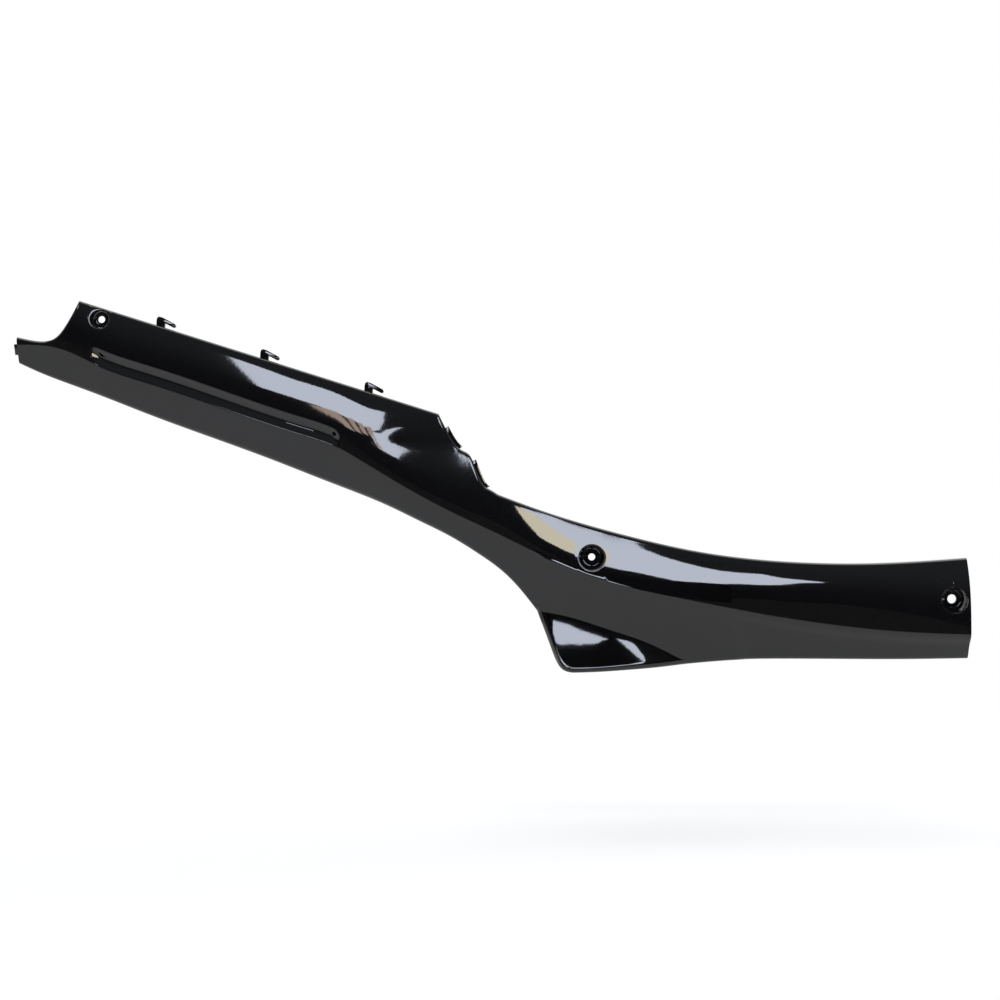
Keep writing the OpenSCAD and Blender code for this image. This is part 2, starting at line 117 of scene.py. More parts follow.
sill_low = Curve(TOE, (8, -114.5), (38, -113), (68, -111), (98, -108), (128, -105), (160, -103),
                 (190, -102.5), (250, -102.5), (310, -102.5), (375, -101.5))
# Creases, and how the face stands and leans along the cover
belt_line = Curve((-571, 211), (-525, 206), (-490, 190), (-440, 172.5), (-340, 138.5),
                  (-290, 122), (-252, 108.5), (-230, 96), (-200, 78), (-150, 50), (-100, 25),
                  (-50, 1), (8, -22), (95, -43), (185, -61), (245, -70), (310, -75.5),
                  (375, -77.5))
flare_line = Curve(CORNER, (-20, -60.5), (19, -73), (53, -84.5), (80, -97))
shoulder_line = Curve((-260, 121), (-200, 113), (-134, 110), (-60, 108))
bulge = Curve((-571, -1), (-400, 4), (-300, 6), (-250, 7.5), (-200, 11.5), (-150, 13), (-100, 13),
              (-50, 12.4), (0, 11.5), (80, 11.5), (200, 9.5), (375, 7.5))
lean = Curve((-571, -0.2), (-400, -0.2), (-320, -0.2), (-260, -0.18), (-200, -0.17),
             (-150, -0.16), (-100, -0.1), (-60, -0.04), (40, 0), (120, -0.02), (200, -0.04),
             (375, 0))
crown = Curve((-571, 0.0078), (-400, 0.0078), (-320, 0.0076), (-260, 0.0074), (-220, 0.0066),
              (-180, 0.0052), (-140, 0.0041), (-100, 0.0037), (-60, 0.0047), (0, 0.006),
              (40, 0.0065), (100, 0.006), (160, 0.002), (375, 0.001))
tumble = Curve((-571, 0), (-300, 0), (-100, 0), (0, 0), (60, 0), (100, 0.00003), (160, 0.00015),
               (240, 0.00016), (375, 0.0001))
shoulder = Curve((-571, 0), (-270, 0), (-240, 0.02), (-190, 0.11), (-130, 0.11), (-80, 0.02),
                 (-50, 0), (375, 0))
soft = Curve((-571, 1), (-300, 1), (-230, 2), (-150, 7), (-90, 7), (-20, 2), (60, 1.2),
             (375, 1.5))
bottom_roll = Curve((-571, 5), (-60, 5), (-30, 4), (40, 4.5), (90, 5), (375, 5))

ARM_SLOPE = (NOTCH_TOP[1] - REAR[1]) / (NOTCH_TOP[0] - REAR[0])
GROOVE_X0 = REAR[0] + GROOVE_REAR_GAP
GROOVE_X1 = GROOVE_X0 + GROOVE_LEN


def top_z(x):
    arm = REAR[1] + ARM_SLOPE * (x - REAR[0])
    return np.where(x < REAR[0], nose_lip(x), np.where(
        x < NOTCH_TOP[0], arm, np.where(x < FOOT[0], notch(x), sill_top(x))))


def bottom_z(x):
    return np.where(x < CORNER[0], arm_low(x), np.where(x < TOE[0], flare_edge(x), sill_low(x)))


def ramp(t, r):
    """0 below t = 0 and t above it, rounded over r."""
    return (t + np.sqrt(t * t + r * r)) / 2


def ease(t):
    c = np.clip(t, 0, 1)
    return c * c * (3 - 2 * c)


def groove(x, v):
    """Depth of the groove: a lower flank, a narrow floor and an upper flank."""
    low_w, top_w = GROOVE_LOW_W - GROOVE_LEDGE, GROOVE_TOP_W + GROOVE_LEDGE
    across = (v - low_w) / np.where(v > low_w, top_w, -low_w)
    across = np.where(v > low_w, ramp(across - GROOVE_FLOOR, GROOVE_SOFT)
                      / ramp(1 - GROOVE_FLOOR, GROOVE_SOFT), across)
    run_out = np.maximum(0, np.maximum(GROOVE_X0 + GROOVE_END - x,
                                       x - GROOVE_X1 + GROOVE_END)) / GROOVE_END
    away = np.sqrt(across ** 2 + run_out ** 2 + GROOVE_VALLEY ** 2)
    return (GROOVE_DEPTH - GROOVE_SINK) * ramp(1 - away, GROOVE_LIP)


def face(x, z):
    """How far the outer face stands out at x, z."""
    v = z - belt_line(x)
    w, tilt = soft(x), lean(x)
    up = ramp(v, w)
    belt = -(BAND_SLOPE + tilt) / 2 * np.hypot(v, w) + (BAND_SLOPE - tilt) / 2 * v
    crowning = -crown(x) * up * up / 2 - tumble(x) * up ** 3 / 3
    high = shoulder_line(x)
    swell = shoulder(x) * (ramp(high - z, SHOULDER_ROUND) - ramp(-v, w) - (high - belt_line(x)))
    from_haunch = np.where(x > HAUNCH_X, np.hypot(x - HAUNCH_X, z - HAUNCH_Z), 0)
    step = HAUNCH_STEP * ease((from_haunch - HAUNCH_R + HAUNCH_RUN / 3) / HAUNCH_RUN) \
        * ease(-v / HAUNCH_RUN)
    under = np.where((x > CORNER[0] - 6) & (x < 110), ramp(flare_line(x) - z, FLARE_ROUND), 0)
    flare = (BAND_SLOPE + FLARE_SLOPE) * under + under * under / (2 * FLARE_R)
    return bulge(x) + belt + crowning + swell - step + flare - groove(x, v)


def wall_in(x, z):
    """Thickness of the wall straight inwards, where the face slopes."""
    e = 0.5
    run = (face(x + e, z) - face(x - e, z)) / (2 * e)
    rise = (face(x, z + e) - face(x, z - e)) / (2 * e)
    return WALL * np.sqrt(1 + run * run + rise * rise)


def stretch(slope):
    """How much a vertical section stretches an edge that runs at a slope."""
    return np.minimum(2.4, np.hypot(1, slope))


def return_end(start):
    return start - RETURN_LEAST - ramp(start - RETURN_LEAST + RETURN_BACK, RETURN_SOFT)


def steps(a, b, n):
    """n equal steps from a towards b, without b."""
    return [a + (b - a) * i / n for i in range(n)]


def stations():
    """Places of the sections, closer where the outline or the groove turns."""
    spans = [(-ARM_LEN, -550, 1.5), (-550, REAR[0], 1.1), (REAR[0], GROOVE_X0, 1.5),
             (GROOVE_X0, GROOVE_X0 + 12, 0.6), (GROOVE_X0 + 12, GROOVE_X1 - 12, 3.2),
             (GROOVE_X1 - 12, GROOVE_X1, 0.6), (GROOVE_X1, NOTCH_TOP[0], 2.4),
             (NOTCH_TOP[0], FOOT[0], 1), (FOOT[0], CORNER[0], 1.5), (CORNER[0], TOE[0], 0.9),
             (TOE[0], 100, 2), (100, 170, 1.4), (170, SILL_LEN, 2.6)]
    places = []
    for a, b, step in spans:
        places += steps(a, b, math.ceil((b - a) / step))
    return np.array(places + [SILL_LEN])


class Sections:
    """Outer and inner points of every section, from the top return to the bottom return."""

    def __init__(self, x):
        self.x = x
        e = 0.5
        zt, zb = top_z(x), bottom_z(x)
        self.ft = stretch((top_z(x + e) - top_z(x - e)) / (2 * e))
        self.fb = stretch((bottom_z(x + e) - bottom_z(x - e)) / (2 * e))
        rt, rb = TOP_ROLL, bottom_roll(x)
        at = np.arctan((face(x, zt - rt - e) - face(x, zt - rt)) / e)
        ab = np.arctan((face(x, zb + rb / 2 + e) - face(x, zb + rb / 2)) / e)
        z_hi = zt - rt * self.ft * (1 - np.sin(at))
        z_lo = zb + rb * self.fb * (1 - np.sin(ab))
        self.top_c = face(x, z_hi) - rt * np.cos(at), zt - rt * self.ft
        self.low_c = face(x, z_lo) - rb * np.cos(ab), zb + rb * self.fb
        self.z_hi, self.z_lo, self.at, self.ab, self.rb = z_hi, z_lo, at, ab, rb
        top_end, low_end = return_end(self.top_c[0]), return_end(self.low_c[0])

        rows = self.rows()
        in_hi = z_hi - WALL * self.ft * np.sin(at)
        in_lo = z_lo + WALL * self.fb * np.sin(ab)
        belt = belt_line(x)
        inner_rows = [np.where(z > belt, belt + (z - belt) * (in_hi - belt) / (z_hi - belt),
                               belt + (z - belt) * (in_lo - belt) / (z_lo - belt))
                      for z in rows[::2]]
        high_arc = [math.pi / 2 + (at - math.pi / 2) * i / 8 for i in range(8)]
        low_arc = [-ab + (ab - math.pi / 2) * i / 12 for i in range(1, 13)]

        def arc(centre, angles, r, f):
            return [(centre[0] + r * np.cos(a), centre[1] + r * f * np.sin(a)) for a in angles]

        def flange(end, start, z, n):
            return [(end + (start - end) * i / n, z) for i in range(n)]

        outer = flange(top_end, self.top_c[0], zt, 4) + arc(self.top_c, high_arc, rt, self.ft)
        outer += [(face(x, z), z) for z in rows]
        outer += arc(self.low_c, low_arc, rb, self.fb)
        outer += flange(low_end, self.low_c[0], zb, 4)[::-1]
        inner = flange(top_end, self.top_c[0], zt - WALL * self.ft, 2)
        inner += arc(self.top_c, high_arc[::2], rt - WALL, self.ft)
        inner += [(face(x, z) - wall_in(x, z), z) for z in inner_rows]
        inner += arc(self.low_c, low_arc[1::2], rb - WALL, self.fb)
        inner += flange(low_end, self.low_c[0], zb + WALL * self.fb, 2)[::-1]
        self.outer = self.points(outer)
        self.inner = self.points(inner)

    def points(self, rows):
        """Array of [station, row, (x, y, z)]."""
        return np.stack([np.stack([self.x, -out, z + 0 * self.x], axis=1) for out, z in rows],
                        axis=1)

    def rows(self):
        """Heights of the rows on the face, closer at the creases."""
        x, belt, top, low = self.x, belt_line(self.x), self.z_hi, self.z_lo
        fit = np.minimum(1, (top - belt) / (1.3 * (GROOVE_LOW_W + GROOVE_TOP_W)))
        lip = belt + fit * (GROOVE_LOW_W + GROOVE_TOP_W)
        valley = belt + fit * GROOVE_LOW_W
        tight = np.where(soft(x) > 3, 1.6, 0.8) * fit
        crease = np.where((x > CORNER[0] - 6) & (x < 110), flare_line(x), -999)
        shelf = np.clip(crease, low + 0.12 * (belt - low), belt - 0.25 * (belt - low))
        bite = np.minimum(1, (shelf - low) / 8)
        rows = steps(top, lip + 1.2 * fit, 16)
        rows += [lip + d * fit for d in (1.2, 0.8, 0.5, 0.3, 0.1, -0.1, -0.3, -0.6, -1, -1.6)]
        rows += steps(lip - 2.4 * fit, valley + 1.5 * fit, 3)
        rows += [valley + d * fit for d in (1.5, 1.1, 0.8, 0.5, 0.25, 0, -0.3, -0.6, -1, -1.5)]
        rows += steps(valley - 2.3 * fit, belt + 2.4 * tight, 4)
        rows += [belt + d * tight for d in (2.4, 1.5, 0.9, 0.4, 0, -0.4, -0.9, -1.6, -2.6)]
        rows += steps(belt - 4.2 * tight, shelf + 3 * bite, 14)
        rows += [shelf + d * bite for d in (3, 1.6, 0.8, 0.3, -0.3, -0.8, -1.6)]
        rows += steps(shelf - 3 * bite, low, 13) + [low]
        return rows


def recess_height(r, seat, floor_r, flank, ground):
    """Lower of the face and a cone over a floor, with a rounded rim and a filleted foot."""
    cone = seat + ramp((r - floor_r) / flank, FOOT_ROUND)
    return (ground + cone - np.sqrt((ground - cone) ** 2 + RIM_ROUND ** 2)) / 2


class Skin:
    """One side of the wall as a grid of quads, which can be left open where a screw sits."""

    def __init__(self, bm, grid, flip):
        self.bm, self.grid, self.flip = bm, grid, flip
        self.open = np.zeros(grid.shape[:2], bool)
        self.v = []

    def quad(self, *verts):
        self.bm.faces.new(verts[::-1] if self.flip else verts)

    def open_square(self, x, z, reach):
        """Opens the cells around a screw and returns their first and last station and row."""
        px, pz = self.grid[:, :, 0], self.grid[:, :, 2]
        rows = np.arange(px.shape[1])
        inside = (np.abs(px - x) < reach) & (np.abs(pz - z) < reach) & (rows > FLANGE_ROWS + 1)
        i, j = np.nonzero(inside)
        a, b, c, d = i.min() - 1, i.max() + 1, j.min() - 1, j.max() + 1
        self.open[a:b, c:d] = True
        return a, b, c, d

    def open_round(self, x, z, reach):
        """Opens the cells whose middle lies within reach of a screw's axis."""
        mid = (self.grid[:-1, :-1] + self.grid[1:, 1:]) / 2
        near = np.hypot(mid[:, :, 0] - x, mid[:, :, 2] - z) < reach
        self.open[:-1, :-1] |= near

    def build(self):
        ni, nj = self.grid.shape[:2]
        self.v = [[self.bm.verts.new(p * MM) for p in row] for row in self.grid]
        for i in range(ni - 1):
            for j in range(nj - 1):
                if not self.open[i, j]:
                    self.quad(self.v[i][j], self.v[i][j + 1], self.v[i + 1][j + 1],
                              self.v[i + 1][j])

    def patch(self, square, x, z, radii, height):
        """Fills an opened square with rings round the screw's axis, from the grid inwards."""
        a, b, c, d = square
        loop = [(i, c) for i in range(a, b)] + [(b, j) for j in range(c, d)]
        loop += [(i, d) for i in range(b, a, -1)] + [(a, j) for j in range(d, c, -1)]
        last = [self.v[i][j] for i, j in loop]
        at = np.array([self.grid[i, j] for i, j in loop])
        angle = np.arctan2(at[:, 2] - z, at[:, 0] - x)
        edge_r = np.hypot(at[:, 2] - z, at[:, 0] - x)
        rings = radii(angle)
        spread = [rings[0] + (edge_r - rings[0]) * t for t in (0.7, 0.4, 0.18)]
        for r in spread + rings:
            px, pz = x + r * np.cos(angle), z + r * np.sin(angle)
            ring = [self.bm.verts.new((u * MM, -o * MM, w * MM))
                    for u, o, w in zip(px, height(px, pz, r), pz)]
            for k in range(len(ring)):
                m = (k + 1) % len(ring)
                self.quad(last[k], ring[k], ring[m], last[m])
            last = ring


def ring_strip(bm, rings, flip):
    """Quads between closed rings of points with as many points each."""
    last = None
    for ring in rings:
        verts = [bm.verts.new(p) for p in ring]
        if last:
            for k in range(len(verts)):
                m = (k + 1) % len(verts)
                quad = (last[k], last[m], verts[m], verts[k])
                bm.faces.new(quad[::-1] if flip else quad)
        last = verts


def cup_back(bm, x, z, seat, floor_r, flank, hole_r):
    """Back of a recess: hole wall, back of the floor and the cone up into the wall."""
    angle = np.linspace(0, 2 * math.pi, 72, endpoint=False)
    back_r = floor_r + WALL - CUP_FLOOR_T * flank
    back = seat - CUP_FLOOR_T
    top_r = np.full_like(angle, back_r)
    for _ in range(12):
        px, pz = x + top_r * np.cos(angle), z + top_r * np.sin(angle)
        top_r = back_r + flank * (face(px, pz) - wall_in(px, pz) / 2 - back)
    rings = [(hole_r, seat - 0.02), (hole_r, back + EDGE_ROUND), (hole_r + EDGE_ROUND, back),
             (back_r - EDGE_ROUND, back), (back_r + EDGE_ROUND * flank, back + EDGE_ROUND)]
    points = [[(x + r * math.cos(a), -o, z + r * math.sin(a)) for a in angle] for r, o in rings]
    points.append([(x + r * math.cos(a), -(back + (r - back_r) / flank), z + r * math.sin(a))
                   for r, a in zip(top_r, angle)])
    ring_strip(bm, [[Vector(p) * MM for p in ring] for ring in points], flip=False)


def solid(bm, outline, depth, place, bevel=0.35):
    """Plate with bevelled edges: an outline in X and Y, depth along Z, moved by place."""
    part = bmesh.new()
    base = part.faces.new([part.verts.new((u, v, 0)) for u, v in outline])
    top = bmesh.ops.extrude_face_region(part, geom=[base])["geom"]
    bmesh.ops.translate(part, vec=(0, 0, depth),
                        verts=[e for e in top if isinstance(e, bmesh.types.BMVert)])
    bmesh.ops.recalc_face_normals(part, faces=part.faces)
    bmesh.ops.bevel(part, geom=part.edges[:], offset=bevel, segments=2, profile=0.5,
                    affect="EDGES", clamp_overlap=True)
    bmesh.ops.transform(part, matrix=place, verts=part.verts)
    bmesh.ops.scale(part, vec=(MM, MM, MM), verts=part.verts)
    scrap = bpy.data.meshes.new("scrap")
    part.to_mesh(scrap)
    part.free()
    bm.from_mesh(scrap)
    bpy.data.meshes.remove(scrap)


def at_seat(x, z, seat):
    """Turns +Z outwards and moves to a seat at x, z."""
    return Matrix.Translation((x, -seat, z)) @ Matrix.Rotation(math.pi / 2, 4, "X")


def one(f, *place):
    """A height function at one place."""
    return float(f(*[np.float64(p) for p in place]))


def add_recess(bm, outer, square, rolled, screw):
    x, z, seat, floor_d, mouth_d, hole_d, gussets = screw
    floor_r, hole_r = floor_d / 2, hole_d / 2
    depth = one(face, x, z) - seat
    flank = (mouth_d - floor_d) / 2 / depth

    def height(px, pz, r):
        return recess_height(r, seat, floor_r, flank, rolled(px, pz))

    def radii(angle):
        rim = np.full_like(angle, floor_r)
        for _ in range(12):
            rim = floor_r + flank * (rolled(x + rim * np.cos(angle), z + rim * np.sin(angle))
                                     - seat)
        around = [rim + d for d in (1.1, 0.7, 0.4, 0.2, 0.05, -0.1, -0.25, -0.45)]
        foot = floor_r + 0.4
        down = [rim - 0.45 + (foot - rim + 0.45) * t for t in (0.3, 0.6, 0.85, 1)]
        flat = [np.full_like(angle, floor_r + d) for d in (0.2, 0, -0.3, -0.8, -2)]
        mouth = [np.full_like(angle, hole_r + d) for d in (0.5, 0)]
        return around + down + flat + mouth

    outer.patch(square, x, z, radii, height)
    cup_back(bm, x, z, seat, floor_r, flank, hole_r)
    for a in gussets:
        foot = floor_r + WALL
        plate = [(hole_r + 1, -CUP_FLOOR_T / 2), (foot, -CUP_FLOOR_T / 2),
                 (mouth_d / 2 + GUSSET_REACH, depth - WALL / 2 - 1.5),
                 (mouth_d / 2 + GUSSET_REACH - 3, depth - WALL), (foot, depth - WALL - 2),
                 (hole_r + 1, -1)]
        turn = Matrix.Rotation(math.radians(a), 4, "Z") @ Matrix.Rotation(math.pi / 2, 4, "X")
        solid(bm, plate, GUSSET_T,
              at_seat(x, z, seat) @ turn @ Matrix.Translation((0, 0, -GUSSET_T / 2)), 0.2)


def add_hooks(bm):
    tip, under = HOOK_STEM_W + HOOK_ARM, HOOK_H - HOOK_T
    outline = [(0, -WALL), (-HOOK_LEAN, under), (-HOOK_LEAN, HOOK_H - HOOK_CHAMFER),
               (HOOK_CHAMFER - HOOK_LEAN, HOOK_H), (HOOK_STEM_W / 2, HOOK_H),
               (tip - HOOK_CHAMFER, HOOK_H - HOOK_DROP),
               (tip, HOOK_H - HOOK_DROP - HOOK_CHAMFER), (tip, under - HOOK_DROP / 2),
               (tip - HOOK_CHAMFER, under - HOOK_DROP), (HOOK_STEM_W, under - HOOK_CHAMFER / 2),
               (HOOK_STEM_W + HOOK_CHAMFER, -WALL)]
    for i in range(HOOK_COUNT):
        x = REAR[0] + HOOK_FIRST + i * HOOK_PITCH
        z = one(top_z, x)
        edge_y = TOP_ROLL - one(face, x, z - TOP_ROLL)
        turn = Matrix.Rotation(-math.atan(ARM_SLOPE), 4, "Y") @ Matrix.Rotation(math.pi / 2, 4, "X")
        solid(bm, outline, HOOK_W, Matrix.Translation((x, edge_y + HOOK_W, z)) @ turn)


def add_tongues(bm):
    for xa, xb, lean_out in NOTCH_TABS:
        edge = [(x, one(top_z, x)) for x in np.linspace(xa, xb, 7)]
        mid = (xa + xb) / 2
        y = TOP_ROLL - one(face, mid, one(top_z, mid) - TOP_ROLL)
        u, v = math.cos(math.radians(lean_out)), math.sin(math.radians(lean_out))
        outline = [(x + TAB_PROUD * u, z + TAB_PROUD * v) for x, z in edge]
        outline += [(x - TAB_ROOT * u, z - TAB_ROOT * v) for x, z in edge[::-1]]
        solid(bm, outline, TAB_T, Matrix.Translation((0, y + TAB_T, 0))
              @ Matrix.Rotation(math.pi / 2, 4, "X"))
    z = (one(top_z, -ARM_LEN) + one(bottom_z, -ARM_LEN)) / 2
    rise = one(face, -ARM_LEN, z + 0.5) - one(face, -ARM_LEN, z - 0.5)
    width, thick = TONGUE_PROUD + TONGUE_ROOT, WALL - 2 * TONGUE_BACK
    outline = [(0, 0), (width, 0), (width, thick), (0, thick)]
    place = Matrix.Translation((-ARM_LEN, -one(face, -ARM_LEN, z), z)) \
        @ Matrix.Rotation(math.atan(rise), 4, "X") \
        @ Matrix.Translation((-TONGUE_PROUD, TONGUE_BACK, -TONGUE_W / 2))
    solid(bm, outline, TONGUE_W, place)


def cover_mesh():
    bm = bmesh.new()
    sections = Sections(stations())
    outer, inner = Skin(bm, sections.outer, False), Skin(bm, sections.inner, True)

    def rolled(px, pz):
        """The outer face with its rolled top edge."""
        centre_out, centre_z = [np.interp(px, sections.x, c) for c in sections.top_c]
        across = TOP_ROLL * np.interp(px, sections.x, sections.ft)
        high = np.clip((pz - centre_z) / across, -1, 1)
        roll = centre_out + TOP_ROLL * np.sqrt(1 - high * high)
        return np.where(pz > np.interp(px, sections.x, sections.z_hi), roll, face(px, pz))

    squares = []
    for x, z, seat, floor_d, mouth_d, hole_d, gussets in SCREWS:
        squares.append(outer.open_square(x, z, mouth_d / 2 + 2))
        inner.open_round(x, z, mouth_d / 2)
    outer.build()
    inner.build()
    for square, screw in zip(squares, SCREWS):
        add_recess(bm, outer, square, rolled, screw)

    ni = len(sections.x)
    for j, flip in ((0, True), (-1, False)):
        for i in range(ni - 1):
            quad = [outer.v[i][j], inner.v[i][j], inner.v[i + 1][j], outer.v[i + 1][j]]
            bm.faces.new(quad[::-1] if flip else quad)
    for i, flip in ((0, False), (-1, True)):
        out, back = outer.v[i], inner.v[i]
        for k in range(len(back) - 1):
            cap = [out[2 * k + 2], out[2 * k + 1], out[2 * k], back[k], back[k + 1]]
            bm.faces.new(cap[::-1] if flip else cap)
    bmesh.ops.delete(bm, geom=[v for v in bm.verts if not v.link_faces], context="VERTS")

    add_hooks(bm)
    add_tongues(bm)
    for f in bm.faces:
        f.smooth = True
    for e in bm.edges:
        e.smooth = len(e.link_faces) != 2 or e.calc_face_angle(0) < math.radians(38)
    mesh = bpy.data.meshes.new("side_cover_shell")
    bm.to_mesh(mesh)
    bm.free()
    return mesh


def cover_material():
    mat = bpy.data.materials.new("gloss_black_abs")
    mat.use_nodes = True
    nodes, links = mat.node_tree.nodes, mat.node_tree.links
    shader = nodes["Principled BSDF"]
    shader.inputs["Base Color"].default_value = (0.004, 0.004, 0.0045, 1)
    shader.inputs["Roughness"].default_value = 0.045
    shader.inputs["IOR"].default_value = 1.5
    place = nodes.new("ShaderNodeTexCoord")
    peel = nodes.new("ShaderNodeTexNoise")
    peel.inputs["Scale"].default_value = 260
    peel.inputs["Detail"].default_value = 2
    links.new(place.outputs["Object"], peel.inputs["Vector"])
    bump = nodes.new("ShaderNodeBump")
    bump.inputs["Strength"].default_value = 0.02
    bump.inputs["Distance"].default_value = 0.0004
    links.new(peel.outputs["Fac"], bump.inputs["Height"])
    links.new(bump.outputs["Normal"], shader.inputs["Normal"])
    return mat


def add_sheet(name, corners, mat, rays=("diffuse", "glossy"), bent=False):
    """A sheet of the studio, in metres: one outline, or strips of four corners where it is bent."""
    mesh = bpy.data.meshes.new(name)
    strips = [(i, i + 1, i + 3, i + 2) for i in range(0, len(corners) - 2, 2)]
    mesh.from_pydata(corners, [], strips if bent else [range(len(corners))])
    mesh.materials.append(mat)
    sheet = bpy.data.objects.new(name, mesh)
    bpy.context.scene.collection.objects.link(sheet)
    sheet.data.shade_smooth()
    sheet.visible_camera = "camera" in rays
    sheet.visible_diffuse = "diffuse" in rays
    sheet.visible_glossy = "glossy" in rays


def glow_material(name, colour, strength):
    mat = bpy.data.materials.new(name)
    mat.use_nodes = True
    nodes = mat.node_tree.nodes
    glow = nodes.new("ShaderNodeEmission")
    glow.inputs["Color"].default_value = (*colour, 1)
    glow.inputs["Strength"].default_value = strength
    mat.node_tree.links.new(glow.outputs["Emission"], nodes["Material Output"].inputs["Surface"])
    return mat


def matt_material(name, colour):
    mat = bpy.data.materials.new(name)
    mat.use_nodes = True
    shader = mat.node_tree.nodes["Principled BSDF"]
    shader.inputs["Base Color"].default_value = (*colour, 1)
    shader.inputs["Roughness"].default_value = 0.9
    shader.inputs["Specular IOR Level"].default_value = 0
    return mat


def strongest(nodes, links, sockets):
    """The greatest of some values."""
    value = sockets[0]
    for socket in sockets[1:]:
        either = nodes.new("ShaderNodeMath")
        either.operation = "MAXIMUM"
        links.new(value, either.inputs[0])
        links.new(socket, either.inputs[1])
        value = either.outputs["Value"]
    return value


def product(nodes, links, one_socket, other_socket):
    both = nodes.new("ShaderNodeMath")
    both.operation = "MULTIPLY"
    links.new(one_socket, both.inputs[0])
    links.new(other_socket, both.inputs[1])
    return both.outputs["Value"]


def sweep_material():
    """Matt white near the cover, so that it keeps the shadow, and plain white further off."""
    mat = matt_material("sweep_white", (0.93, 0.93, 0.93))
    nodes, links = mat.node_tree.nodes, mat.node_tree.links
    place = nodes.new("ShaderNodeTexCoord")
    away = nodes.new("ShaderNodeVectorMath")
    away.operation = "DISTANCE"
    away.inputs[1].default_value = SHADOW_MIDDLE
    links.new(place.outputs["Object"], away.inputs[0])
    share = nodes.new("ShaderNodeMapRange")
    share.interpolation_type = "SMOOTHSTEP"
    share.inputs["From Min"].default_value = SHADOW_NEAR
    share.inputs["From Max"].default_value = SHADOW_FAR
    share.inputs["To Min"].default_value = SHADOW_GLOW
    links.new(away.outputs["Value"], share.inputs["Value"])
    path = nodes.new("ShaderNodeLightPath")
    seen = strongest(nodes, links, [path.outputs["Is Camera Ray"], path.outputs["Is Glossy Ray"],
                                    path.outputs["Is Transmission Ray"]])
    glow = nodes.new("ShaderNodeEmission")
    mix = nodes.new("ShaderNodeMixShader")
    links.new(product(nodes, links, seen, share.outputs["Result"]), mix.inputs["Fac"])
    links.new(nodes["Principled BSDF"].outputs["BSDF"], mix.inputs[1])
    links.new(glow.outputs["Emission"], mix.inputs[2])
    links.new(mix.outputs["Shader"], nodes["Material Output"].inputs["Surface"])
    return mat


# The studio, in metres: a white sweep behind the cover, a dark room in front of it
FLOOR_Z, FLOOR_FRONT, SWEEP_BACK, SWEEP_R, SWEEP_TOP, SWEEP_HALF = -0.26, -0.66, 3.9, 1.2, 5.0, 4.5
SHADOW_MIDDLE, SHADOW_NEAR, SHADOW_FAR, SHADOW_GLOW = (-0.1, 0, FLOOR_Z), 0.6, 1.6, 0.4
ROOM_Y, ROOM_LOW, ROOM_HIGH = -4.0, 0.03, 0.22
# Outlines of the windows on the wall behind the camera, as x and z: the cover mirrors the left one,
# and the right one only lights
WINDOW_LEFT = [(-0.9, 0.88), (-0.6, 0.93), (-0.38, 0.8), (-0.13, 1.02), (0.09, 1.53), (0.24, 2.12),
               (0.02, 2.08), (-0.4, 2.25), (-0.72, 2.32)]
WINDOW_RIGHT = [(0.49, 0.37), (0.64, 0.33), (0.86, 0.61), (1.03, 0.9), (1.22, 1.45), (1.27, 1.95),
                (1.1, 1.9), (1.2, 3), (0.76, 3), (0.64, 1.3), (0.57, 0.94)]
# The same for painted reflections: cards nearer to the cover that glow only in its reflections and
# light nothing, standing in for a sill window, a beige curtain, a lobe of window light and brown
# slats
CARD_Y = -0.5
PAINTED_SILL_OUTLINE = [(0.021, 0.072), (0.047, 0.07), (0.066, 0.044), (0.1, 0.05), (0.126, 0.04),
               (0.153, 0.026), (0.182, 0.027), (0.211, 0.044), (0.24, 0.065), (0.268, 0.078),
               (0.294, 0.1), (0.323, 0.147), (0.354, 0.16), (0.351, 0.174), (0.328, 0.196),
               (0.309, 0.21), (0.297, 0.245), (0.268, 0.21), (0.237, 0.186), (0.21, 0.188),
               (0.183, 0.201), (0.161, 0.222), (0.15, 0.25), (0.153, 0.285), (0.163, 0.305),
               (0.15, 0.31), (0.12, 0.236), (0.059, 0.18), (0.033, 0.143)]
PAINTED_CURTAIN_OUTLINE = [(0.014, 0.062), (0.05, 0.057), (0.066, 0.078), (0.089, 0.127), (0.092, 0.19),
           (0.026, 0.155)]
PAINTED_LOBE_OUTLINE = [(-0.256, 0.166), (-0.2, 0.178), (-0.16, 0.236), (-0.12, 0.295), (-0.17, 0.255),
        (-0.205, 0.212), (-0.245, 0.2)]
PAINTED_SLAT_OUTLINE = [(-0.338, 0.15), (-0.32, 0.146), (-0.31, 0.246), (-0.328, 0.236)]
SLAT_COUNT, SLAT_PITCH, SLAT_RISE = 4, 0.026, 0.008
# Close to the flare, a painted reflection: a pale glowing card seen only in reflections, in front
# of a dark sheet, also seen only in reflections, that paints shade into the reflection around it
FLARE_CARD_Y, PAINTED_SHADE_Y = -0.1, -0.101
PAINTED_FLARE_OUTLINE = [(-0.0496, -0.0363), (-0.0338, -0.0378), (-0.0221, -0.0393), (0.0025, -0.0415),
              (0.022, -0.0455), (0.0373, -0.0498), (0.042, -0.0519), (0.0384, -0.0486),
              (0.0341, -0.0437), (0.0275, -0.04), (0.0098, -0.0335), (-0.0145, -0.0288),
              (-0.0262, -0.026), (-0.0379, -0.0248), (-0.0462, -0.0296)]
PAINTED_SHADE_OUTLINE = [(-0.065, -0.056), (0.152, -0.056), (0.152, -0.013), (-0.065, -0.013)]
UP = math.pi / 2


